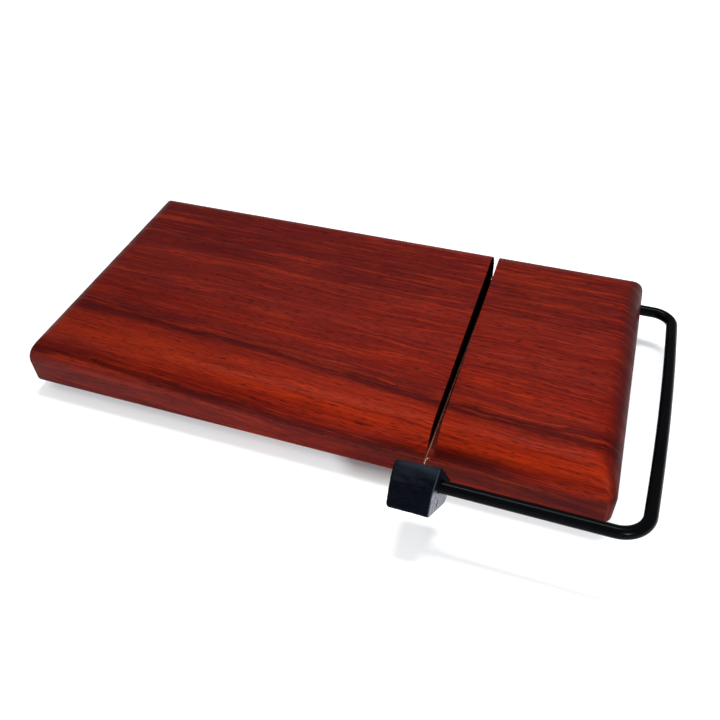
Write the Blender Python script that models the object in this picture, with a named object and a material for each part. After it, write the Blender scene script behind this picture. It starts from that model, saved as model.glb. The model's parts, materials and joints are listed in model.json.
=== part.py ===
"""Cheese wire cutter: a hardwood board with a saw kerf, and a bent rod handle that carries the cutting wire.

Metres, +Z up. The board's length runs along X and the cutting stroke comes down at the front, on -Y.
The handle turns about its rear leg, which lies in a blind bore near the board's back edge.
"""

import math

import bmesh
import bpy
from mathutils import Matrix, Vector

MM = 0.001

# Board, measured from its front left bottom corner
BOARD_LENGTH = 250 * MM
BOARD_WIDTH = 125 * MM
BOARD_THICKNESS = 25 * MM
TOP_ROUND = 12.5 * MM
BOTTOM_ROUND = 3 * MM
CORNER_ROUNDS = (1 * MM, 1.2 * MM, 1.2 * MM, 3.5 * MM)  # rear right, rear left, front left, front right
TOP_ROUND_STEPS = 10
BOTTOM_ROUND_STEPS = 3
CORNER_STEPS = 3

# Handle: a round rod bent into a U, tilted up at the front while the wire lies in its kerf
ROD_RADIUS = 2.38 * MM
ROD_SIDES = 20
PIVOT_FROM_FRONT = 113 * MM
PIVOT_HEIGHT = BOARD_THICKNESS / 2
REST_TILT = math.radians(5)
HANDLE_REACH = 131.6 * MM
REAR_LEG_END = 165 * MM
FRONT_LEG_END = 175.5 * MM
SIDE_LEG_REAR = 263.9 * MM
SIDE_LEG_MIDDLE = 263.5 * MM
SIDE_LEG_FRONT = 259.2 * MM
REAR_BEND = 8.2 * MM
FRONT_BEND = 11.2 * MM
SIDE_BOW = 1650 * MM
BEND_STEP = math.radians(9)

# Bore and kerf in the board
BORE_RADIUS = ROD_RADIUS + 0.4 * MM
BORE_SIDES = 24
BORE_END = 160 * MM
KERF_MIDDLE = 181.6 * MM
KERF_WIDTH = 3.2 * MM
KERF_BELOW_WIRE = 5.5 * MM

# Cutting wire, looped round both legs and twisted back on itself
WIRE_RADIUS = 0.25 * MM
WIRE_SIDES = 8
LOOP_RADIUS = ROD_RADIUS + WIRE_RADIUS + 0.3 * MM
LOOP_STEPS = 24
TWIST_RADIUS = 0.55 * MM
FRONT_TWIST_LENGTH = 8.1 * MM
REAR_TWIST_LENGTH = 9 * MM
TWIST_TAPER = 0.6 * MM
STRAND_SETBACK = 0.08 * MM  # from a loop's centre line to the strand's end
TAIL_LENGTH = 1.8 * MM

# Grip: a short block set cornerwise on the free end of the front leg, with a planed top and a crowned front.
# Each corner of its section, as it stands at rest, is (back, up, edge radius), from the leg's axis.
GRIP_LEFT = 172.9 * MM
GRIP_RIGHT = 190 * MM
GRIP_SECTION = (
    (0.8 * MM, 10.2 * MM, 1.2 * MM),
    (-2.9 * MM, 6.8 * MM, 2 * MM),
    (-7.3 * MM, 1.3 * MM, 8 * MM),
    (-10.3 * MM, -6.7 * MM, 2.2 * MM),
    (3.7 * MM, -14.4 * MM, 2.2 * MM),
    (8.9 * MM, -6.9 * MM, 2.2 * MM),
)
# How far each end leans out to the right, per unit back and per unit up
GRIP_LEFT_SLANT = Vector((0.04, 0))
GRIP_RIGHT_SLANT = Vector((0.2, -0.05))
# The top is planed lower at the left end: what stands above the shoulder is this share of its height
GRIP_SHOULDER = 4 * MM
GRIP_LEFT_TOP = 0.7
GRIP_BORE_RADIUS = ROD_RADIUS + 0.3 * MM
GRIP_BORE_END = FRONT_LEG_END - 0.6 * MM
GRIP_POCKET_WIDTH = 2 * MM
GRIP_POCKET_RADIUS = LOOP_RADIUS + WIRE_RADIUS + 0.5 * MM

# Feet: round rubber bumpers under the board
FOOT_RADIUS = 6 * MM
FOOT_TOP_RADIUS = 6.4 * MM
FOOT_HEIGHT = 2.8 * MM
FOOT_GAP = 0.3 * MM
FOOT_INSET = 18 * MM
FOOT_SIDES = 32

PAST = 5 * MM  # how far a cutter runs past the surface that it cuts


def clear_scene():
    for obj in list(bpy.data.objects):
        bpy.data.objects.remove(obj, do_unlink=True)


def principled(name, colour, roughness, metallic=0.0):
    material = bpy.data.materials.new(name)
    material.use_nodes = True
    shader = material.node_tree.nodes["Principled BSDF"]
    shader.inputs["Base Color"].default_value = (*colour, 1)
    shader.inputs["Roughness"].default_value = roughness
    shader.inputs["Metallic"].default_value = metallic
    return material


def place(obj, parent, material=None):
    bpy.context.scene.collection.objects.link(obj)
    obj.parent = parent
    if material:
        obj.data.materials.append(material)
    return obj


def empty(name, parent, location, tilt=0.0):
    obj = place(bpy.data.objects.new(name, None), parent)
    obj.location = location
    obj.rotation_euler.x = tilt
    return obj


def mesh_object(name, bm, parent, material=None, smooth=True):
    bmesh.ops.recalc_face_normals(bm, faces=bm.faces)
    mesh = bpy.data.meshes.new(name)
    bm.to_mesh(mesh)
    bm.free()
    if smooth:
        mesh.shade_smooth()
        mesh.set_sharp_from_angle(angle=math.radians(35))
    return place(bpy.data.objects.new(name, mesh), parent, material)


def loft(bm, rings):
    """A closed solid through rings of points that correspond one to one."""
    loops = [[bm.verts.new(point) for point in ring] for ring in rings]
    count = len(loops[0])
    for low, high in zip(loops, loops[1:]):
        for i in range(count):
            j = (i + 1) % count
            bm.faces.new((low[i], low[j], high[j], high[i]))
    bm.faces.new(reversed(loops[0]))
    bm.faces.new(loops[-1])


def arc(centre, radius, start, turn, steps):
    """Points in a plane along a circular arc, both ends included."""
    angles = [start + turn * i / steps for i in range(steps + 1)]
    return [centre + radius * Vector((math.cos(a), math.sin(a))) for a in angles]


def rounded_rectangle(low, high, radii, steps):
    """Outline of a rectangle with round corners, anticlockwise from the far right one."""
    corners = [(high.x, high.y), (low.x, high.y), (low.x, low.y), (high.x, low.y)]
    inward = [(-1, -1), (1, -1), (1, 1), (-1, 1)]
    outline = []
    for i, (corner, way, radius) in enumerate(zip(corners, inward, radii)):
        centre = Vector(corner) + radius * Vector(way)
        outline += arc(centre, radius, math.pi / 2 * i, math.pi / 2, steps)
    return outline


def cylinder(name, radius, sides, start, end, parent, material=None):
    """A round bar from start to end."""
    axis = end - start
    bm = bmesh.new()
    turn = axis.to_track_quat("Z", "Y").to_matrix().to_4x4()
    matrix = Matrix.Translation((start + end) / 2) @ turn
    bmesh.ops.create_cone(
        bm,
        cap_ends=True,
        segments=sides,
        radius1=radius,
        radius2=radius,
        depth=axis.length,
        matrix=matrix,
    )
    return mesh_object(name, bm, parent, material)


def box(name, low, high, parent):
    bm = bmesh.new()
    size = Matrix.Diagonal((*(high - low), 1))
    bmesh.ops.create_cube(bm, size=1, matrix=Matrix.Translation((low + high) / 2) @ size)
    return mesh_object(name, bm, parent, smooth=False)


def combine(obj, other, operation):
    """Joins a helper to obj, or cuts it out, with a Boolean; the helper itself isn't part of the object."""
    other.hide_render = True
    other.display_type = "WIRE"
    modifier = obj.modifiers.new(other.name, "BOOLEAN")
    modifier.operation = operation
    modifier.solver = "EXACT"
    modifier.object = other


def make_board(root, handle):
    profile = [
        (BOTTOM_ROUND * (1 - math.sin(a)), BOTTOM_ROUND * (1 - math.cos(a)))
        for a in quarter(BOTTOM_ROUND_STEPS)
    ]
    profile += [
        (TOP_ROUND * (1 - math.cos(a)), BOARD_THICKNESS - TOP_ROUND * (1 - math.sin(a)))
        for a in quarter(TOP_ROUND_STEPS)
    ]
    rings = []
    for inset, height in profile:
        low = Vector((inset, inset))
        high = Vector((BOARD_LENGTH - inset, BOARD_WIDTH - inset))
        outline = rounded_rectangle(low, high, CORNER_ROUNDS, CORNER_STEPS)
        rings.append([point.to_3d() + Vector((0, 0, height)) for point in outline])
    bm = bmesh.new()
    loft(bm, rings)
    wood = principled("board_wood", (0.22, 0.035, 0.018), 0.38)
    board = mesh_object("board", bm, root, wood)
    combine(board, kerf_cutter(handle), "DIFFERENCE")
    combine(board, bore_cutter(root), "DIFFERENCE")
    return board


def quarter(steps):
    return [math.pi / 2 * i / steps for i in range(steps + 1)]


def kerf_cutter(handle):
    """The kerf's floor is parallel to the wire at rest, so the cutter lies in the handle's tilted frame."""
    half = Vector((KERF_WIDTH / 2, 0, 0))
    front = Vector((0, -BOARD_WIDTH - PAST, -KERF_BELOW_WIRE))
    back = Vector((0, BOARD_WIDTH - PIVOT_FROM_FRONT + PAST, BOARD_THICKNESS + PAST))
    return box("kerf_cutter", front - half, back + half, handle)


def bore_cutter(root):
    start = Vector((BORE_END, PIVOT_FROM_FRONT, PIVOT_HEIGHT))
    end = Vector((BOARD_LENGTH + PAST, PIVOT_FROM_FRONT, PIVOT_HEIGHT))
    return cylinder("bore_cutter", BORE_RADIUS, BORE_SIDES, start, end, root)


def fillet(before, corner, after, radius):
    """An arc in place of a corner, between the lines from and to its neighbours."""
    way_in = (corner - before).normalized()
    way_out = (after - corner).normalized()
    turn = -way_in.angle_signed(way_out)
    normal = math.copysign(1, turn) * Vector((-way_in.y, way_in.x))
    centre = corner - radius * math.tan(abs(turn) / 2) * way_in + radius * normal
    start = math.atan2(-normal.y, -normal.x)
    return arc(centre, radius, start, turn, max(2, math.ceil(abs(turn) / BEND_STEP)))


def bent_line(start, bends, end):
    """Points along a line from start to end that turns at each bend, which is (corner, radius)."""
    corners = [start] + [corner for corner, _ in bends] + [end]
    points = [start]
    for before, (corner, radius), after in zip(corners, bends, corners[2:]):
        points += fillet(before, corner, after, radius)
    return points + [end]


def rounded_polygon(bends):
    """Outline of a polygon whose corners, each (corner, radius), are rounded."""
    outline = []
    for i, (corner, radius) in enumerate(bends):
        before = bends[i - 1][0]
        after = bends[(i + 1) % len(bends)][0]
        outline += fillet(before, corner, after, radius)
    return outline


def make_rod(handle):
    x = KERF_MIDDLE
    bends = [
        (Vector((SIDE_LEG_REAR - x, 0)), REAR_BEND),
        (Vector((SIDE_LEG_MIDDLE - x, -HANDLE_REACH / 2)), SIDE_BOW),
        (Vector((SIDE_LEG_FRONT - x, -HANDLE_REACH)), FRONT_BEND),
    ]
    start = Vector((REAR_LEG_END - x, 0))
    end = Vector((FRONT_LEG_END - x, -HANDLE_REACH))
    path = bent_line(start, bends, end)
    rings = []
    for i, point in enumerate(path):
        before = path[max(i - 1, 0)]
        after = path[min(i + 1, len(path) - 1)]
        way = (after - before).normalized()
        across = Vector((-way.y, way.x, 0))
        ring = arc(Vector((0, 0)), ROD_RADIUS, 0, 2 * math.pi, ROD_SIDES)[:-1]
        rings.append([point.to_3d() + across * p.x + Vector((0, 0, p.y)) for p in ring])
    bm = bmesh.new()
    loft(bm, rings)
    paint = principled("rod_paint", (0.012, 0.012, 0.014), 0.28)
    return mesh_object("handle_rod", bm, handle, paint)


def make_loop(name, centre, handle):
    """A ring of wire round a leg, in the plane across it."""
    bm = bmesh.new()
    rings = []
    for i in range(LOOP_STEPS):
        angle = 2 * math.pi * i / LOOP_STEPS
        outward = Vector((0, math.cos(angle), math.sin(angle)))
        section = arc(Vector((0, 0)), WIRE_RADIUS, 0, 2 * math.pi, WIRE_SIDES)[:-1]
        middle = centre + LOOP_RADIUS * outward
        rings.append([middle + outward * p.x + Vector((p.y, 0, 0)) for p in section])
    loops = [[bm.verts.new(point) for point in ring] for ring in rings]
    for i, low in enumerate(loops):
        high = loops[(i + 1) % LOOP_STEPS]
        for j in range(WIRE_SIDES):
            k = (j + 1) % WIRE_SIDES
            bm.faces.new((low[j], low[k], high[k], high[j]))
    return mesh_object(name, bm, handle)


def make_strand(handle, material):
    """The wire from loop to loop, thicker where it is twisted back on itself."""
    rear = -LOOP_RADIUS - STRAND_SETBACK
    front = LOOP_RADIUS + STRAND_SETBACK - HANDLE_REACH
    stations = [
        (rear, TWIST_RADIUS),
        (rear - REAR_TWIST_LENGTH, TWIST_RADIUS),
        (rear - REAR_TWIST_LENGTH - TWIST_TAPER, WIRE_RADIUS),
        (front + FRONT_TWIST_LENGTH + TWIST_TAPER, WIRE_RADIUS),
        (front + FRONT_TWIST_LENGTH, TWIST_RADIUS),
        (front, TWIST_RADIUS),
    ]
    rings = []
    for y, radius in stations:
        section = arc(Vector((0, 0)), radius, 0, 2 * math.pi, WIRE_SIDES)[:-1]
        rings.append([Vector((p.x, y, p.y)) for p in section])
    bm = bmesh.new()
    loft(bm, rings)
    return mesh_object("cutting_wire", bm, handle, material)


def make_wire(handle):
    steel = principled("wire_steel", (0.55, 0.54, 0.52), 0.25, 1.0)
    wire = make_strand(handle, steel)
    tail_start = Vector((0, LOOP_RADIUS + FRONT_TWIST_LENGTH - HANDLE_REACH, 0))
    tail_end = tail_start + TAIL_LENGTH * Vector((1, 0.1, 0.3)).normalized()
    helpers = [
        make_loop("rear_loop", Vector((0, 0, 0)), handle),
        make_loop("front_loop", Vector((0, -HANDLE_REACH, 0)), handle),
        cylinder("tail", WIRE_RADIUS, WIRE_SIDES, tail_start, tail_end, handle),
    ]
    for helper in helpers:
        combine(wire, helper, "UNION")
    return wire


def make_grip(handle):
    outline = rounded_polygon([(Vector((back, up)), radius) for back, up, radius in GRIP_SECTION])
    upright = Matrix.Rotation(REST_TILT, 2)
    rings = []
    ends = ((GRIP_LEFT, GRIP_LEFT_SLANT, GRIP_LEFT_TOP), (GRIP_RIGHT, GRIP_RIGHT_SLANT, 1))
    for end, slant, top in ends:
        ring = []
        for point in outline:
            x = end - KERF_MIDDLE + slant.dot(point)
            above = max(0, point.y - GRIP_SHOULDER)
            section = upright @ Vector((point.x, point.y - (1 - top) * above))
            ring.append(Vector((x, section.x - HANDLE_REACH, section.y)))
        rings.append(ring)
    bm = bmesh.new()
    loft(bm, rings)
    paint = principled("grip_paint", (0.018, 0.019, 0.024), 0.6)
    grip = mesh_object("grip", bm, handle, paint)
    for cutter in (grip_bore(handle), grip_pocket(handle), grip_passage(handle)):
        combine(grip, cutter, "DIFFERENCE")
    return grip


def grip_bore(handle):
    """The blind hole that the front leg sits in."""
    start = Vector((GRIP_BORE_END - KERF_MIDDLE, -HANDLE_REACH, 0))
    end = Vector((GRIP_RIGHT - KERF_MIDDLE + PAST, -HANDLE_REACH, 0))
    return cylinder("grip_bore", GRIP_BORE_RADIUS, BORE_SIDES, start, end, handle)


def grip_pocket(handle):
    """The room round the leg for the wire's loop."""
    leg = Vector((0, -HANDLE_REACH, 0))
    half = Vector((GRIP_POCKET_WIDTH / 2, 0, 0))
    return cylinder("grip_pocket", GRIP_POCKET_RADIUS, BORE_SIDES, leg - half, leg + half, handle)


def grip_passage(handle):
    """The way from the pocket out of the grip's back, for the twisted wire."""
    half = GRIP_POCKET_WIDTH / 2
    low = Vector((-half, -HANDLE_REACH, -half))
    high = Vector((half, GRIP_POCKET_RADIUS + PAST - HANDLE_REACH, half))
    return box("grip_passage", low, high, handle)


def make_feet(root):
    rubber = principled("foot_rubber", (0.02, 0.02, 0.02), 0.8)
    across = (("left", FOOT_INSET), ("right", BOARD_LENGTH - FOOT_INSET))
    along = (("front", FOOT_INSET), ("rear", BOARD_WIDTH - FOOT_INSET))
    feet = []
    for row, y in along:
        for side, x in across:
            bm = bmesh.new()
            middle = -FOOT_GAP - FOOT_HEIGHT / 2
            bmesh.ops.create_cone(
                bm,
                cap_ends=True,
                segments=FOOT_SIDES,
                radius1=FOOT_RADIUS,
                radius2=FOOT_TOP_RADIUS,
                depth=FOOT_HEIGHT,
                matrix=Matrix.Translation((x, y, middle)),
            )
            feet.append(mesh_object(f"foot_{row}_{side}", bm, root, rubber))
    return feet


def stand_on_origin(root, pieces):
    """Moves the whole object so that the middle of its bounding box's underside is the origin."""
    bpy.context.view_layer.update()
    graph = bpy.context.evaluated_depsgraph_get()
    points = []
    for piece in pieces:
        shown = piece.evaluated_get(graph)
        points += [shown.matrix_world @ vertex.co for vertex in shown.data.vertices]
    low = Vector([min(p[i] for p in points) for i in range(3)])
    high = Vector([max(p[i] for p in points) for i in range(3)])
    root.location = -Vector(((low.x + high.x) / 2, (low.y + high.y) / 2, low.z))


def main():
    clear_scene()
    root = empty("cutter", None, (0, 0, 0))
    pivot = (KERF_MIDDLE, PIVOT_FROM_FRONT, PIVOT_HEIGHT)
    handle = empty("handle_pivot", root, pivot, tilt=-REST_TILT)
    pieces = [
        make_board(root, handle),
        make_rod(handle),
        make_wire(handle),
        make_grip(handle),
        *make_feet(root),
    ]
    stand_on_origin(root, pieces)


main()
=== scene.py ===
"""Looks of the cheese wire cutter: a red hardwood board, a black rod handle, a grip and a steel wire.

Metres, +Z up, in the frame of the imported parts. Figures in the wood's material are millimetres.
"""

import json
import math
from types import SimpleNamespace

import bmesh
import bpy
from mathutils import Matrix, Vector, noise


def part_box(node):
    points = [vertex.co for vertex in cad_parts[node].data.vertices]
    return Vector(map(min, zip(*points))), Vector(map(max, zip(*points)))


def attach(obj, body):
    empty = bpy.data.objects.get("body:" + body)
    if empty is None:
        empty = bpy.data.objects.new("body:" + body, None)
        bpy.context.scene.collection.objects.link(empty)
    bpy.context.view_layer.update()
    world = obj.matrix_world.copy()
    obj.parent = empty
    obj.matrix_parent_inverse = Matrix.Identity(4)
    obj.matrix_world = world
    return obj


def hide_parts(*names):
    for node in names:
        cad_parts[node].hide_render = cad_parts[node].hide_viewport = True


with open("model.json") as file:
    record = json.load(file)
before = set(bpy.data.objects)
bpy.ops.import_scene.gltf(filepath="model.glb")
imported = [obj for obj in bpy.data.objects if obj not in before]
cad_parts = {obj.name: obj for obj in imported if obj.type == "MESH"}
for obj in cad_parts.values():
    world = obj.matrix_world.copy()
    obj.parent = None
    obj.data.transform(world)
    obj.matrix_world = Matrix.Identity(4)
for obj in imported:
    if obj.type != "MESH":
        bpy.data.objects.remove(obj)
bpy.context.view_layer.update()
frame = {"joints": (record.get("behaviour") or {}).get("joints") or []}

MM = 0.001

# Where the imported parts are
BOARD_LOW, BOARD_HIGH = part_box("board")
ROD_LOW, ROD_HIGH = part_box("handle_rod")
PIVOT = Vector(frame["joints"][0]["pos_m"])

# Board
TOP_ROUND = 12.5 * MM
BOTTOM_ROUND = 3 * MM
CORNER_ROUNDS = (1 * MM, 1.2 * MM, 1.2 * MM, 3.5 * MM)  # rear right, rear left, front left, front right
KERF_WIDTH = 3.2 * MM
KERF_BELOW_WIRE = 5.5 * MM
KERF_ARRIS = 0.25 * MM
BORE_START = BOARD_LOW.x + 160 * MM
BORE_GAP = 0.4 * MM
LOWEST_RUBBED = PIVOT.z - 3 * MM

# Handle
ROD_RADIUS = 2.38 * MM
FRONT_LEG = Vector((0, ROD_LOW.y + ROD_RADIUS, ROD_HIGH.z - ROD_RADIUS))
REACH = math.hypot(PIVOT.y - FRONT_LEG.y, FRONT_LEG.z - PIVOT.z)
TILT = math.atan2(FRONT_LEG.z - PIVOT.z, PIVOT.y - FRONT_LEG.y)
REAR_BEND = 8.2 * MM
FRONT_BEND = 11.2 * MM
SIDE_BOW = 1650 * MM
SIDE_LEANS = (0.4 * MM, 4.7 * MM)  # how far the side leg's middle and front end lie left of its rear end
FRONT_LEG_PAST_WIRE = 6.1 * MM

# Wire
WIRE_RADIUS = 0.25 * MM
LOOP_RADIUS = ROD_RADIUS + WIRE_RADIUS + 0.3 * MM
TWIST_PITCH = 2.6 * MM
FRONT_TWIST = 8.1 * MM
REAR_TWIST = 9 * MM


def tilted(x, y, z):
    """A point given from the pivot in the handle's own directions, as it stands at rest."""
    turn = Matrix.Rotation(-TILT, 3, "X")
    return PIVOT + turn @ Vector((x, y, z))


# ---------------------------------------------------------------- node helpers


class Nodes:
    """Short ways to build one material's nodes."""

    def __init__(self, name):
        self.material = bpy.data.materials.new(name)
        self.material.use_nodes = True
        self.tree = self.material.node_tree
        self.shader = self.tree.nodes["Principled BSDF"]

    def add(self, kind, **values):
        node = self.tree.nodes.new(kind)
        for key, value in values.items():
            self.feed(node.inputs[key], value)
        return node

    def feed(self, socket, value):
        if isinstance(value, bpy.types.NodeSocket):
            self.tree.links.new(value, socket)
        else:
            socket.default_value = value

    def math(self, operation, a, b=0.0, c=0.0):
        node = self.tree.nodes.new("ShaderNodeMath")
        node.operation = operation
        for socket, value in zip(node.inputs, (a, b, c)):
            self.feed(socket, value)
        return node.outputs[0]

    def spread(self, value, low, high, to_low=0.0, to_high=1.0):
        """value taken from low..high to to_low..to_high, and clamped there."""
        node = self.tree.nodes.new("ShaderNodeMapRange")
        node.interpolation_type = "SMOOTHSTEP"
        for socket, number in zip(node.inputs, (value, low, high, to_low, to_high)):
            self.feed(socket, number)
        return node.outputs[0]

    def object_point(self):
        return self.add("ShaderNodeTexCoord").outputs["Object"]

    def scaled(self, point, scale, rotation=(0, 0, 0), location=(0, 0, 0)):
        node = self.tree.nodes.new("ShaderNodeMapping")
        self.feed(node.inputs["Vector"], point)
        node.inputs["Scale"].default_value = scale
        node.inputs["Rotation"].default_value = rotation
        node.inputs["Location"].default_value = location
        return node.outputs[0]

    def noise(self, point, detail, roughness=0.5):
        node = self.tree.nodes.new("ShaderNodeTexNoise")
        self.feed(node.inputs["Vector"], point)
        node.inputs["Scale"].default_value = 1.0
        node.inputs["Detail"].default_value = detail
        node.inputs["Roughness"].default_value = roughness
        return node.outputs["Fac"]

    def ramp(self, value, stops):
        node = self.tree.nodes.new("ShaderNodeValToRGB")
        elements = node.color_ramp.elements
        while len(elements) < len(stops):
            elements.new(0.5)
        for element, (place, colour) in zip(elements, stops):
            element.position = place
            element.color = (*linear(colour), 1)
        self.feed(node.inputs[0], value)
        return node.outputs[0]

    def mix(self, amount, a, b, blend="MIX"):
        node = self.tree.nodes.new("ShaderNodeMix")
        node.data_type = "RGBA"
        node.blend_type = blend
        colours = [(*linear(c), 1) if isinstance(c, tuple) else c for c in (a, b)]
        for socket, value in zip((node.inputs[0], node.inputs[6], node.inputs[7]), (amount, *colours)):
            self.feed(socket, value)
        return node.outputs[2]

    def bump(self, height, distance, strength):
        node = self.tree.nodes.new("ShaderNodeBump")
        self.feed(node.inputs["Height"], height)
        node.inputs["Distance"].default_value = distance
        node.inputs["Strength"].default_value = strength
        self.feed(self.shader.inputs["Normal"], node.outputs[0])

    def set(self, **values):
        for key, value in values.items():
            self.feed(self.shader.inputs[key.replace("_", " ")], value)
        return self.material


def linear(colour):
    """An sRGB colour of 0 to 255 as linear light."""
    return tuple(((c / 255 + 0.055) / 1.055) ** 2.4 if c > 10 else c / 255 / 12.92 for c in colour)


# ---------------------------------------------------------------- materials


# The wood's layers: tones, and where each lies across the grain, in millimetres behind the front arris
STREAK = (64, 4, 4)
DARK = (84, 17, 15)
MAROON = (95, 18, 12)
RED = (104, 25, 18)
WARM = (111, 22, 7)
ORANGE = (130, 31, 6)
WOOD_LAYERS = (
    (-26, RED),
    (-20, DARK),
    (-15, RED),
    (-9, RED),
    (-4, RED),
    (-0.5, STREAK),
    (7, WARM),
    (13, ORANGE),
    (20, ORANGE),
    (28, WARM),
    (30.5, STREAK),
    (33, STREAK),
    (38, MAROON),
    (45, WARM),
    (52, MAROON),
    (60, RED),
    (67, MAROON),
    (75, RED),
    (84, DARK),
    (112, DARK),
    (120, MAROON),
    (132, DARK),
)
LAYER_SLOPES = (0.066, 0.012)  # fall towards the front per step to the right: at the front, and at the back
SHADOW_BELOW_TOP = 7.8  # the painted shadow on the front's round-over


def wood_places(n):
    """Where a point lies in the board: right of the left end, behind the front, and above the top.

    across is the distance across the grain, along which the layers change. The layers fall towards the
    front as they run to the right, less so at the back, and they wander.
    """
    axes = n.add("ShaderNodeSeparateXYZ", Vector=n.object_point())
    corner = (BOARD_LOW.x, BOARD_LOW.y, BOARD_HIGH.z)
    in_mm = [n.math("DIVIDE", axes.outputs[i], MM) for i in range(3)]
    left, front, top = (n.math("SUBTRACT", value, start / MM) for value, start in zip(in_mm, corner))
    normal = n.add("ShaderNodeSeparateXYZ", Vector=n.add("ShaderNodeTexCoord").outputs["Normal"])
    end_grain = n.math("ABSOLUTE", normal.outputs[0])
    slope = n.spread(front, 10.0, 105.0, *LAYER_SLOPES)
    across = n.math("MULTIPLY_ADD", left, slope, front)
    tipped = n.math("MULTIPLY", top, n.spread(end_grain, 0.0, 0.8, 0.9, 0.1))
    across = n.math("ADD", across, tipped)
    deep = n.math("MULTIPLY", top, 0.15)
    plain = n.add("ShaderNodeCombineXYZ", X=left, Y=across, Z=deep).outputs[0]
    wander = n.noise(n.scaled(plain, (0.011, 0.05, 0.05)), detail=2)
    waver = n.noise(n.scaled(plain, (0.045, 0.22, 0.22), location=(3, 1, 2)), detail=3)
    across = n.math("ADD", across, n.math("MULTIPLY_ADD", wander, 7.0, -3.5))
    across = n.math("ADD", across, n.math("MULTIPLY_ADD", waver, 2.6, -1.3))
    grain = n.add("ShaderNodeCombineXYZ", X=left, Y=across, Z=deep).outputs[0]
    return SimpleNamespace(
        left=left, front=front, top=top, end_grain=end_grain, across=across, waver=waver, grain=grain
    )


def wood_layers(n, at):
    first, last = WOOD_LAYERS[0][0], WOOD_LAYERS[-1][0]
    stops = [((place - first) / (last - first), colour) for place, colour in WOOD_LAYERS]
    bands = n.ramp(n.math("DIVIDE", n.math("SUBTRACT", at.across, first), last - first), stops)
    tint = n.mix(n.spread(at.left, 0.0, 190.0), (213, 211, 221), (255, 243, 225))
    return n.mix(1.0, bands, tint, "MULTIPLY")


def wood_streaks(n, at, colour, broad, hair):
    """Dark and pale streaks of three widths. The narrow pale ones are stronger towards the right."""
    streak = n.noise(n.scaled(at.grain, (0.027, 0.75, 0.75)), detail=4, roughness=0.62)
    paler = n.spread(at.left, 30.0, 190.0, 0.5, 1.0)
    colour = n.mix(n.spread(broad, 0.52, 0.72, 0.0, 0.55), colour, (70, 3, 3))
    colour = n.mix(n.spread(broad, 0.46, 0.28, 0.0, 0.45), colour, (139, 37, 8))
    colour = n.mix(n.spread(streak, 0.50, 0.70, 0.0, 0.60), colour, (64, 3, 3))
    pale_streak = n.math("MULTIPLY", n.spread(streak, 0.50, 0.32, 0.0, 0.4), paler)
    colour = n.mix(pale_streak, colour, (160, 44, 8))
    colour = n.mix(n.spread(hair, 0.50, 0.74, 0.0, 0.50), colour, (58, 3, 3))
    pale_hair = n.math("MULTIPLY", n.spread(hair, 0.48, 0.30, 0.0, 0.25), paler)
    return n.mix(pale_hair, colour, (158, 49, 20))


def front_painted_shade(n, at, colour):
    """Painted shadow of the grip and the front leg on the front's round-over, right of the kerf, and painted
    shade on the front below it.
    """
    wavy = n.math("ADD", n.math("MULTIPLY_ADD", at.waver, 3.0, -1.5), n.math("ADD", at.top, SHADOW_BELOW_TOP))
    grip_and_rod_shadow = n.spread(n.math("ABSOLUTE", wavy), 4.2, 0.9)
    for limit in (
        n.spread(at.left, 181.0, 184.0),
        n.spread(at.left, 196.0, 226.0, 0.8, 0.1),
        n.spread(at.front, 20.0, 10.0),
    ):
        grip_and_rod_shadow = n.math("MULTIPLY", grip_and_rod_shadow, limit)
    colour = n.mix(grip_and_rod_shadow, colour, (44, 3, 3))
    painted_lower_shade = n.math("MULTIPLY", n.spread(at.top, -9.0, -15.0), n.spread(at.left, 165.0, 200.0))
    return n.mix(n.math("MULTIPLY", painted_lower_shade, 0.4), colour, (58, 4, 5))


def kerf_painted_shade(n, at):
    """How much painted shade a point gets in the kerf: only the kerf's walls, whose normals lie along the
    board.
    """
    from_kerf = n.math("ABSOLUTE", n.math("SUBTRACT", at.left, (PIVOT.x - BOARD_LOW.x) / MM))
    half_kerf = KERF_WIDTH / 2 / MM
    near = n.spread(from_kerf, half_kerf + 0.2, half_kerf + 0.02)
    return n.math("MULTIPLY", near, n.spread(at.end_grain, 0.5, 0.9))


def wood_material():
    n = Nodes("oiled_red_hardwood")
    at = wood_places(n)
    broad = n.noise(n.scaled(at.grain, (0.012, 0.16, 0.16), location=(5, 0, 1)), detail=3)
    hair = n.noise(n.scaled(at.grain, (0.08, 2.4, 2.4), location=(7, 2, 4)), detail=3, roughness=0.6)
    colour = wood_streaks(n, at, wood_layers(n, at), broad, hair)
    # Open pores: short dark lines along the grain
    pores = n.noise(n.scaled(at.grain, (0.22, 2.6, 2.6), location=(1, 9, 3)), detail=1, roughness=0.4)
    pore = n.spread(pores, 0.59, 0.67)
    colour = n.mix(n.math("MULTIPLY", pore, 0.65), colour, (37, 3, 3))
    # Painted shadow of the grip and the rod on the front, and painted shade below it
    colour = front_painted_shade(n, at, colour)
    # The ends drink more oil and look darker; on the right end, which faces away from the light, this
    # darkening is also painted shade
    colour = n.mix(n.spread(at.end_grain, 0.15, 0.75, 0.0, 0.72), colour, (42, 5, 9))
    # The kerf's walls are painted near black, as painted shade in the narrow slot
    kerf_shade = kerf_painted_shade(n, at)
    colour = n.mix(n.math("MULTIPLY", kerf_shade, 0.9), colour, (10, 2, 3))
    n.bump(n.math("SUBTRACT", n.math("MULTIPLY", hair, 0.2), pore), 0.05 * MM, 0.5)
    roughness = n.spread(broad, 0.3, 0.7, 0.42, 0.54)
    shine = n.spread(kerf_shade, 0.0, 0.8, 0.04, 0.0)
    return n.set(Base_Color=colour, Roughness=roughness, Specular_IOR_Level=shine)


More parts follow.
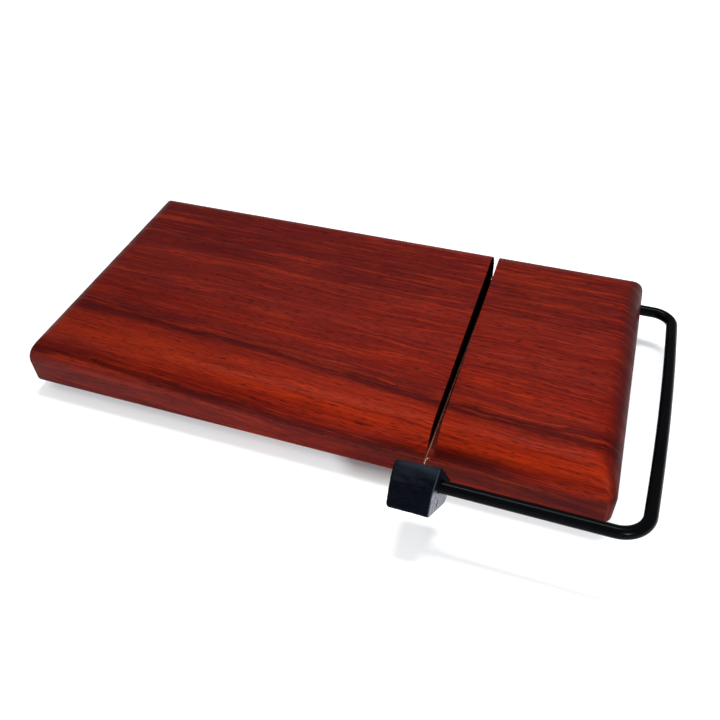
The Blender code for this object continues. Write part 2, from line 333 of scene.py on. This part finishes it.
def rod_material():
    n = Nodes("black_coated_rod")
    point = n.object_point()
    speckle = n.noise(n.scaled(point, (900, 900, 900)), detail=3)
    smudge = n.noise(n.scaled(point, (60, 60, 60)), detail=3)
    colour = n.mix(smudge, (2, 3, 4), (5, 6, 8))
    n.bump(speckle, 0.04 * MM, 0.3)
    roughness = n.spread(smudge, 0.3, 0.7, 0.2, 0.25)
    return n.set(Base_Color=colour, Roughness=roughness, Specular_IOR_Level=0.035)


def grip_material():
    n = Nodes("stained_grip")
    point = n.object_point()
    normal = n.add("ShaderNodeSeparateXYZ", Vector=n.add("ShaderNodeTexCoord").outputs["Normal"])
    end_face = n.spread(normal.outputs[0], 0.72, 0.92)
    top_facet = n.spread(normal.outputs[2], 0.63, 0.74)
    weave = n.noise(n.scaled(point, (500, 1500, 1500), rotation=(0, 0.5, 0.3)), detail=4, roughness=0.6)
    patch = n.noise(n.scaled(point, (160, 160, 160)), detail=3)
    skin = n.mix(n.spread(patch, 0.35, 0.7), (2, 4, 10), (6, 6, 13))
    skin = n.mix(n.spread(weave, 0.45, 0.75, 0.0, 0.5), skin, (15, 20, 33))
    # The planed top facet is painted a lighter grey, as painted light falling from above
    place = n.add("ShaderNodeSeparateXYZ", Vector=point)
    down = n.math("SUBTRACT", FRONT_LEG.z, place.outputs[2])
    lit_top_facet = n.math("MULTIPLY", top_facet, n.spread(patch, 0.25, 0.6, 0.45, 0.95))
    lit_top_facet = n.math("MULTIPLY", lit_top_facet, n.spread(down, -7.2 * MM, -8.6 * MM, 0.35, 1.0))
    skin = n.mix(lit_top_facet, skin, (33, 37, 43))
    # The edge between the front and the right end is painted lighter: a painted highlight
    to_right, to_back = normal.outputs[0], normal.outputs[1]
    bevel = n.math("MULTIPLY", n.spread(to_right, 0.2, 0.42), n.spread(to_right, 0.92, 0.75))
    bevel = n.math("MULTIPLY", bevel, n.spread(to_back, -0.15, -0.45))
    skin = n.mix(n.math("MULTIPLY", bevel, 0.6), skin, (52, 60, 72))
    # Bare pale fibres show on the right end. They are painted only on its lower front half: the fibres are
    # real, and keeping them there is painted light from below and the front
    fibre = n.noise(n.scaled(point, (400, 2600, 900), rotation=(0.5, 0, 0)), detail=4, roughness=0.65)
    worn = n.ramp(fibre, [(0.30, (72, 72, 78)), (0.5, (128, 128, 135)), (0.72, (168, 168, 174))])
    back = n.math("SUBTRACT", place.outputs[1], FRONT_LEG.y)
    lower_front = n.math("SUBTRACT", n.math("MULTIPLY", down, 0.8), back)
    fibres_and_lit_low = n.math("MULTIPLY", end_face, n.spread(lower_front, 1.5 * MM, 4.5 * MM))
    colour = n.mix(fibres_and_lit_low, skin, worn)
    n.bump(n.math("ADD", weave, n.math("MULTIPLY", fibre, 0.6)), 0.12 * MM, 0.5)
    return n.set(Base_Color=colour, Roughness=0.62, Specular_IOR_Level=0.022)


def wire_material():
    n = Nodes("drawn_steel_wire")
    point = n.object_point()
    draw = n.noise(n.scaled(point, (4000, 120, 4000)), detail=3)
    # The warm, coppery tint of the steel is a painted reflection of the red wood around the wire
    colour = n.mix(draw, (128, 100, 84), (178, 146, 124))
    n.bump(draw, 0.01 * MM, 0.4)
    return n.set(Base_Color=colour, Metallic=1.0, Roughness=n.spread(draw, 0.3, 0.7, 0.24, 0.38))


def rubber_material():
    n = Nodes("bumper_rubber")
    point = n.object_point()
    grain = n.noise(n.scaled(point, (1800, 1800, 1800)), detail=3)
    dust = n.noise(n.scaled(point, (240, 240, 240)), detail=2)
    colour = n.mix(dust, (24, 24, 25), (38, 38, 39))
    n.bump(grain, 0.05 * MM, 0.4)
    return n.set(Base_Color=colour, Roughness=n.spread(dust, 0.3, 0.7, 0.7, 0.85))


def floor_material():
    n = Nodes("pale_floor")
    mottle = n.noise(n.scaled(n.object_point(), (3, 3, 3)), detail=2)
    colour = n.mix(mottle, (250, 250, 250), (253, 253, 253))
    n.set(Emission_Color=(1, 1, 1, 1), Emission_Strength=0.08)
    return n.set(Base_Color=colour, Roughness=0.9, Specular_IOR_Level=0.1)


# ---------------------------------------------------------------- mesh helpers


def new_object(name, bm, material, smooth_angle=35):
    bmesh.ops.recalc_face_normals(bm, faces=bm.faces)
    mesh = bpy.data.meshes.new(name)
    bm.to_mesh(mesh)
    bm.free()
    mesh.shade_smooth()
    mesh.set_sharp_from_angle(angle=math.radians(smooth_angle))
    obj = bpy.data.objects.new(name, mesh)
    bpy.context.scene.collection.objects.link(obj)
    if material:
        mesh.materials.append(material)
    return obj


def skin(bm, rings):
    """Quads between rings of points that correspond one to one, and a flat face on each end."""
    loops = [[bm.verts.new(p) for p in ring] for ring in rings]
    count = len(loops[0])
    for low, high in zip(loops, loops[1:]):
        for i in range(count):
            j = (i + 1) % count
            bm.faces.new((low[i], low[j], high[j], high[i]))
    bm.faces.new(reversed(loops[0]))
    bm.faces.new(loops[-1])


def arc(centre, radius, start, turn, steps):
    angles = [start + turn * i / steps for i in range(steps + 1)]
    return [centre + radius * Vector((math.cos(a), math.sin(a))) for a in angles]


def rounded_rectangle(low, high, radii, steps):
    corners = [(high.x, high.y), (low.x, high.y), (low.x, low.y), (high.x, low.y)]
    inward = [(-1, -1), (1, -1), (1, 1), (-1, 1)]
    outline = []
    for i, (corner, way, radius) in enumerate(zip(corners, inward, radii)):
        outline += arc(Vector(corner) + radius * Vector(way), radius, math.pi / 2 * i, math.pi / 2, steps)
    return outline


def fillet(before, corner, after, radius, step):
    """An arc of a given radius that rounds a corner, with about one point for each step of its turn."""
    way_in = (corner - before).normalized()
    way_out = (after - corner).normalized()
    turn = -way_in.angle_signed(way_out)
    normal = math.copysign(1, turn) * Vector((-way_in.y, way_in.x))
    centre = corner - radius * math.tan(abs(turn) / 2) * way_in + radius * normal
    start = math.atan2(-normal.y, -normal.x)
    return arc(centre, radius, start, turn, max(3, math.ceil(abs(turn) / step)))


def sweep(bm, path, radius, sides, radii=None):
    """A round bar along a path, with its section carried along without twist."""
    before = [path[0], *path[:-1]]
    after = [*path[1:], path[-1]]
    tangents = [(b - a).normalized() for a, b in zip(before, after)]
    across = tangents[0].orthogonal().normalized()
    rings = []
    for i, (point, tangent) in enumerate(zip(path, tangents)):
        across = (across - across.dot(tangent) * tangent).normalized()
        other = tangent.cross(across)
        r = radii[i] if radii else radius
        rings.append([
            point + r * (math.cos(a) * across + math.sin(a) * other)
            for a in (2 * math.pi * k / sides for k in range(sides))
        ])
    skin(bm, rings)


def round_cutter(name, start, end, radius, sides):
    bm = bmesh.new()
    sweep(bm, [start, end], radius, sides)
    return new_object(name, bm, None)


def cut(obj, cutter):
    modifier = obj.modifiers.new("cut", "BOOLEAN")
    modifier.operation = "DIFFERENCE"
    modifier.solver = "EXACT"
    modifier.object = cutter
    apply_modifiers(obj)
    bpy.data.objects.remove(cutter)


def apply_modifiers(obj):
    graph = bpy.context.evaluated_depsgraph_get()
    mesh = bpy.data.meshes.new_from_object(obj.evaluated_get(graph))
    obj.modifiers.clear()
    obj.data = mesh


def finished(obj, body, node):
    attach(obj, body)
    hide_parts(node)
    return obj


# ---------------------------------------------------------------- board


def quarter(steps):
    return [math.pi / 2 * i / steps for i in range(steps + 1)]


def board_body(material):
    profile = [(BOTTOM_ROUND * (1 - math.sin(a)), BOTTOM_ROUND * (1 - math.cos(a))) for a in quarter(8)]
    height = BOARD_HIGH.z - BOARD_LOW.z
    top = height - TOP_ROUND
    profile += [(TOP_ROUND * (1 - math.cos(a)), top + TOP_ROUND * math.sin(a)) for a in quarter(28)]
    rings = []
    for inset, up in profile:
        low = Vector((BOARD_LOW.x + inset, BOARD_LOW.y + inset))
        high = Vector((BOARD_HIGH.x - inset, BOARD_HIGH.y - inset))
        outline = rounded_rectangle(low, high, CORNER_ROUNDS, 6)
        rings.append([Vector((p.x, p.y, BOARD_LOW.z + up)) for p in outline])
    bm = bmesh.new()
    skin(bm, rings)
    return new_object("hardwood_board", bm, material)


def kerf_cutter():
    """The kerf lies a little below the wire at rest, and runs out at the front, the top and the back."""
    half = KERF_WIDTH / 2
    board_width = BOARD_HIGH.y - BOARD_LOW.y
    front, back = -board_width, BOARD_HIGH.y - PIVOT.y + 10 * MM
    floor, above = -KERF_BELOW_WIRE, board_width / 4
    corners = [(front, floor), (back, floor), (back, above), (front, above)]
    rings = [[tilted(x, y, z) for y, z in corners] for x in (-half, half)]
    bm = bmesh.new()
    skin(bm, rings)
    return new_object("kerf_cutter", bm, None)


def bore_cutter():
    start = Vector((BORE_START, PIVOT.y, PIVOT.z))
    end = Vector((BOARD_HIGH.x + 5 * MM, PIVOT.y, PIVOT.z))
    return round_cutter("bore_cutter", start, end, ROD_RADIUS + BORE_GAP, 48)


def soften_cut_edges(obj):
    """Rubs down the sharp edges that the saw and the drill left."""
    bm = bmesh.new()
    bm.from_mesh(obj.data)
    bmesh.ops.remove_doubles(bm, verts=bm.verts, dist=0.01 * MM)
    sharp = []
    for edge in bm.edges:
        if len(edge.link_faces) == 2 and edge.calc_face_angle() > math.radians(32):
            middle = (edge.verts[0].co + edge.verts[1].co) / 2
            if middle.z > LOWEST_RUBBED:
                sharp.append(edge)
    bmesh.ops.bevel(
        bm,
        geom=sharp,
        offset=KERF_ARRIS,
        offset_type="OFFSET",
        segments=2,
        profile=0.5,
        affect="EDGES",
        clamp_overlap=True,
    )
    bm.to_mesh(obj.data)
    bm.free()
    obj.data.shade_smooth()
    obj.data.set_sharp_from_angle(angle=math.radians(40))


def make_board():
    board = board_body(wood_material())
    cut(board, kerf_cutter())
    cut(board, bore_cutter())
    soften_cut_edges(board)
    return finished(board, "board", "board")


# ---------------------------------------------------------------- handle rod


def rod_path():
    """The rod's centre line: rear, side and front legs, drawn flat and then tilted as at rest."""
    start = Vector((ROD_LOW.x, 0))
    lean_after_bend = 0.05 * MM
    side_rear = ROD_HIGH.x - ROD_RADIUS + lean_after_bend
    bends = [
        (Vector((side_rear, 0)), REAR_BEND, math.radians(4)),
        (Vector((side_rear - SIDE_LEANS[0], -REACH / 2)), SIDE_BOW, math.radians(0.25)),
        (Vector((side_rear - SIDE_LEANS[1], -REACH)), FRONT_BEND, math.radians(4)),
    ]
    end = Vector((PIVOT.x - FRONT_LEG_PAST_WIRE, -REACH))
    corners = [start, *(corner for corner, _, _ in bends), end]
    flat = [start]
    for before, (corner, radius, step), after in zip(corners, bends, corners[2:]):
        flat += fillet(before, corner, after, radius, step)
    flat.append(end)
    return [tilted(p.x - PIVOT.x, p.y, 0) for p in flat]


def make_rod():
    path = rod_path()
    chamfer = 0.4 * MM
    first = (path[1] - path[0]).normalized()
    last = (path[-1] - path[-2]).normalized()
    path = [path[0], path[0] + chamfer * first, *path[1:-1], path[-1] - chamfer * last, path[-1]]
    radii = [ROD_RADIUS - chamfer] + [ROD_RADIUS] * (len(path) - 2) + [ROD_RADIUS - chamfer]
    bm = bmesh.new()
    sweep(bm, path, ROD_RADIUS, 40, radii=radii)
    rod = new_object("coated_rod", bm, rod_material())
    return finished(rod, "handle", "handle_rod")


# ---------------------------------------------------------------- grip

# Section of the block round the front leg's axis, as it stands: (back, up, edge radius)
GRIP_SECTION = (
    (0.8 * MM, 10.2 * MM, 1.2 * MM),
    (-2.9 * MM, 6.8 * MM, 2.2 * MM),
    (-7.3 * MM, 1.3 * MM, 8 * MM),
    (-10.3 * MM, -6.7 * MM, 2.3 * MM),
    (3.7 * MM, -14.4 * MM, 2.3 * MM),
    (8.9 * MM, -6.9 * MM, 2.3 * MM),
)
GRIP_ENDS = (-8.7 * MM, 8.4 * MM)  # from the wire, at the leg's axis
GRIP_SLANTS = (Vector((0.04, 0)), Vector((0.2, -0.05)))  # how far the ends lean right, per unit back and up
GRIP_EDGES = (1.5 * MM, 0.7 * MM)  # edge radii of the left and right ends
GRIP_SHOULDER = 4 * MM
GRIP_PLANED = 0.3  # share of the height above the shoulder that is planed off at the left end
GRIP_WEAR = 0.1 * MM
GRIP_BORE_GAP = 0.3 * MM


def grip_outline():
    outline = []
    bends = [(Vector((back, up)), radius) for back, up, radius in GRIP_SECTION]
    for i, (corner, radius) in enumerate(bends):
        before, after = bends[i - 1][0], bends[(i + 1) % len(bends)][0]
        outline += fillet(before, corner, after, radius, math.radians(9))
    return outline


def even(outline, count):
    """The same closed outline with points a fixed distance apart."""
    closed = outline + [outline[0]]
    lengths = [0.0]
    for a, b in zip(closed, closed[1:]):
        lengths.append(lengths[-1] + (b - a).length)
    points = []
    j = 0
    for i in range(count):
        target = lengths[-1] * i / count
        while lengths[j + 1] < target:
            j += 1
        share = (target - lengths[j]) / (lengths[j + 1] - lengths[j])
        points.append(closed[j].lerp(closed[j + 1], share))
    return points


def grip_stations():
    """Each ring's place along the grip, from 0 at the left end to 1, and how far the ring draws in."""
    length = GRIP_ENDS[1] - GRIP_ENDS[0]
    left_edge, right_edge = GRIP_EDGES
    face_rings = (5.0 * MM, 3.0 * MM, 1.6 * MM)
    body_rings = 34
    stations = [(0, shrink) for shrink in face_rings]
    for a in quarter(5):
        stations.append((left_edge * (1 - math.cos(a)) / length, left_edge * (1 - math.sin(a))))
    for i in range(1, body_rings):
        stations.append(((left_edge + (length - sum(GRIP_EDGES)) * i / body_rings) / length, 0))
    for a in reversed(quarter(5)):
        stations.append((1 - right_edge * (1 - math.cos(a)) / length, right_edge * (1 - math.sin(a))))
    return stations + [(1, shrink) for shrink in reversed(face_rings)]


def grip_ring(outline, share, shrink):
    centre = sum(outline, Vector((0, 0))) / len(outline)
    points = []
    for p in outline:
        q = centre + (p - centre) * (1 - shrink / (p - centre).length)
        left = PIVOT.x + GRIP_ENDS[0] + GRIP_SLANTS[0].dot(q)
        right = PIVOT.x + GRIP_ENDS[1] + GRIP_SLANTS[1].dot(q)
        x = left + (right - left) * share
        planed = GRIP_PLANED * (1 - share) * max(0, q.y - GRIP_SHOULDER)
        points.append(Vector((x, FRONT_LEG.y + q.x, FRONT_LEG.z + q.y - planed)))
    return points


def make_grip():
    outline = even(grip_outline(), 120)
    bm = bmesh.new()
    skin(bm, [grip_ring(outline, share, shrink) for share, shrink in grip_stations()])
    bm.normal_update()
    for vertex in bm.verts:
        rough = noise.fractal(vertex.co / (3.5 * MM), 1.0, 2.0, 3)
        vertex.co -= vertex.normal * (GRIP_WEAR + GRIP_WEAR * rough)
    grip = new_object("stained_grip", bm, grip_material(), 50)
    for cutter in (grip_bore(), loop_pocket(), wire_passage(), drying_crack()):
        cut(grip, cutter)
    grip.data.shade_smooth()
    grip.data.set_sharp_from_angle(angle=math.radians(50))
    return finished(grip, "handle", "grip")


def grip_bore():
    start = Vector((PIVOT.x - 6.7 * MM, FRONT_LEG.y, FRONT_LEG.z))
    end = start + Vector((20 * MM, 0, 0))
    return round_cutter("grip_bore", start, end, ROD_RADIUS + GRIP_BORE_GAP, 40)


def loop_pocket():
    """The hollow round the wire's loop on the front leg."""
    middle = Vector((PIVOT.x, FRONT_LEG.y, FRONT_LEG.z))
    half = Vector((1 * MM, 0, 0))
    radius = LOOP_RADIUS + WIRE_RADIUS + 0.5 * MM
    return round_cutter("grip_pocket", middle - half, middle + half, radius, 40)


def wire_passage():
    """The hole through which the wire leaves the grip."""
    return round_cutter("grip_passage", tilted(0, -REACH, 0), tilted(0, -REACH + 9 * MM, 0), 1.0 * MM, 24)


def drying_crack():
    """A crack in the right end, below the leg. The points of its lens are millimetres along and across it."""
    middle = Vector((-2.8 * MM, -6.2 * MM))
    along = Vector((-0.62, -0.78))
    side = Vector((along.y, -along.x))
    lens = [(-1.7, 0.0), (-0.6, 0.34), (0.7, 0.42), (1.8, 0.0), (0.5, -0.28), (-0.8, -0.32)]
    points = [middle + long * MM * along + wide * MM * side for long, wide in lens]
    face = PIVOT.x + GRIP_ENDS[1] + GRIP_SLANTS[1].dot(middle)
    bm = bmesh.new()
    ends = (face - 1.2 * MM, face + 2 * MM)
    skin(bm, [[Vector((x, FRONT_LEG.y + p.x, FRONT_LEG.z + p.y)) for p in points] for x in ends])
    return new_object("grip_crack", bm, None)


# ---------------------------------------------------------------- wire


def loop_and_twist(leg_y, way, twist_length, tail):
    """Points from the tail's tip, in turns round the other strand, once round the leg, and back in turns.

    way is the direction from the leg along the wire, -1 or 1. Points are in the handle's own directions.
    """
    strand = WIRE_RADIUS * 1.02
    start = leg_y + way * LOOP_RADIUS
    far = start + way * twist_length
    points = list(tail(far))
    steps = 90
    for i in range(steps + 1):
        y = far + (start - far) * i / steps
        phase = 2 * math.pi * (y - start) / TWIST_PITCH
        points.append(Vector((strand * math.cos(phase), y, strand * math.sin(phase))))
    turn_steps = 40
    for i in range(1, turn_steps):
        angle = 2 * math.pi * i / turn_steps
        side = strand * math.cos(math.pi * i / turn_steps)
        outward = Vector((0, way * math.cos(angle), way * math.sin(angle)))
        points.append(Vector((side, leg_y, 0)) + LOOP_RADIUS * outward)
    for i in range(steps + 1):
        y = start + (far - start) * i / steps
        phase = 2 * math.pi * (y - start) / TWIST_PITCH + math.pi
        points.append(Vector((strand * math.cos(phase), y, strand * math.sin(phase))))
    return points


def front_tail(far):
    for share in (1.0, 0.75, 0.5, 0.25):
        yield Vector((1.1 * MM * share + WIRE_RADIUS, far + 0.3 * MM * share, 0.3 * MM * share))


def rear_tail(far):
    for share in (1.0, 0.66, 0.33):
        yield Vector((WIRE_RADIUS + 0.35 * MM * share, far - 1.6 * MM * share, 0.3 * MM * share))


def make_wire():
    front = loop_and_twist(-REACH, 1, FRONT_TWIST, front_tail)
    rear = loop_and_twist(0, -1, REAR_TWIST, rear_tail)
    middle = []
    span_start, span_end = front[-1], rear[-1]
    span_steps = 60
    for i in range(1, span_steps):
        share = i / span_steps
        ease = min(1, share * 20, (1 - share) * 20)
        point = span_start.lerp(span_end, share)
        middle.append(Vector((point.x * (1 - ease), point.y, point.z * (1 - ease))))
    path = [tilted(*p) for p in front + middle + rear[::-1]]
    bm = bmesh.new()
    sweep(bm, path, WIRE_RADIUS, 12)
    wire = new_object("twisted_wire", bm, wire_material(), 60)
    return finished(wire, "handle", "cutting_wire")


# ---------------------------------------------------------------- feet


def foot_profile(radius, height):
    """Distance from the axis and height, from the shallow hollow underneath to the top of the side."""
    hollow = [(2.2 * MM, 0.35 * MM), (2.6 * MM, 0.12 * MM), (3.0 * MM, 0.0), (4.6 * MM, 0.0)]
    rounded = [(5.0 * MM + 1.0 * MM * math.sin(a), 0.9 * MM * (1 - math.cos(a))) for a in quarter(8)]
    lip = [(radius - 0.15 * MM, height - 0.6 * MM), (radius, height - 0.45 * MM), (radius, height)]
    return hollow + rounded + lip


def make_foot(node, material):
    low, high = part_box(node)
    centre = (low + high) / 2
    sides = 64
    rings = []
    for r, up in foot_profile((high.x - low.x) / 2, high.z - low.z):
        rings.append([
            Vector((centre.x + r * math.cos(a), centre.y + r * math.sin(a), low.z + up))
            for a in (2 * math.pi * k / sides for k in range(sides))
        ])
    bm = bmesh.new()
    skin(bm, rings)
    foot = new_object(node.replace("foot", "bumper"), bm, material)
    return finished(foot, "board", node)


# ---------------------------------------------------------------- stage


def make_floor():
    bm = bmesh.new()
    bmesh.ops.create_grid(bm, x_segments=8, y_segments=8, size=3)
    floor = new_object("floor", bm, floor_material())


def area_light(name, location, target, size, power, colour=(1, 1, 1)):
    data = bpy.data.lights.new(name, "AREA")
    data.shape = "RECTANGLE"
    data.size, data.size_y = size
    data.energy = power
    data.color = colour
    light = bpy.data.objects.new(name, data)
    light.location = location
    light.rotation_euler = (Vector(target) - Vector(location)).to_track_quat("-Z", "Y").to_euler()
    bpy.context.scene.collection.objects.link(light)


def make_lights():
    world = bpy.data.worlds.new("studio")
    world.use_nodes = True
    background = world.node_tree.nodes["Background"]
    background.inputs["Color"].default_value = (1, 1, 1, 1)
    background.inputs["Strength"].default_value = 0.37
    bpy.context.scene.world = world
    area_light("overhead", (0.0, 0.4, 1.3), (0, 0, 0), (0.7, 0.25), 14)
    area_light("side", (-1.0, -0.1, 0.9), (0, 0, 0), (0.6, 0.9), 4)
    area_light("window", (0.9, -0.95, 0.75), (0.05, 0, 0.02), (0.24, 0.13), 15, (0.9, 0.96, 1))
    area_light("low_strip", (0.0, -1.45, 0.33), (-0.05, -0.05, 0.02), (1.6, 0.12), 2.5)


CAMERA_LENS = 37.533
CAMERA_TURNS = (20.576, 44.370, 2.312)  # degrees left of straight ahead, down, and rolled
CAMERA_FROM_CORNER = (219.93 * MM, -172.97 * MM, 239.37 * MM)  # from the board's lowest corner


def make_camera():
    """The camera stands in front of the board and right of its middle, and looks down and to the left."""
    data = bpy.data.cameras.new("camera")
    data.sensor_width = 36
    data.lens = CAMERA_LENS
    camera = bpy.data.objects.new("camera", data)
    yaw, pitch, roll = (math.radians(a) for a in CAMERA_TURNS)
    ahead = Vector((-math.sin(yaw) * math.cos(pitch), math.cos(yaw) * math.cos(pitch), -math.sin(pitch)))
    right = Vector((math.cos(yaw), math.sin(yaw), 0))
    down = ahead.cross(right)
    level_right = math.cos(roll) * right + math.sin(roll) * down
    level_down = math.cos(roll) * down - math.sin(roll) * right
    turn = Matrix((level_right, -level_down, -ahead)).transposed().to_4x4()
    place = BOARD_LOW + Vector(CAMERA_FROM_CORNER)
    camera.matrix_world = Matrix.Translation(place) @ turn
    bpy.context.scene.collection.objects.link(camera)
    bpy.context.scene.camera = camera


make_camera()
make_lights()
make_floor()
make_board()
make_rod()
make_grip()
make_wire()
rubber = rubber_material()
for foot_node in ("foot_front_left", "foot_front_right", "foot_rear_left", "foot_rear_right"):
    make_foot(foot_node, rubber)
bpy.context.scene.view_settings.view_transform = "Standard"
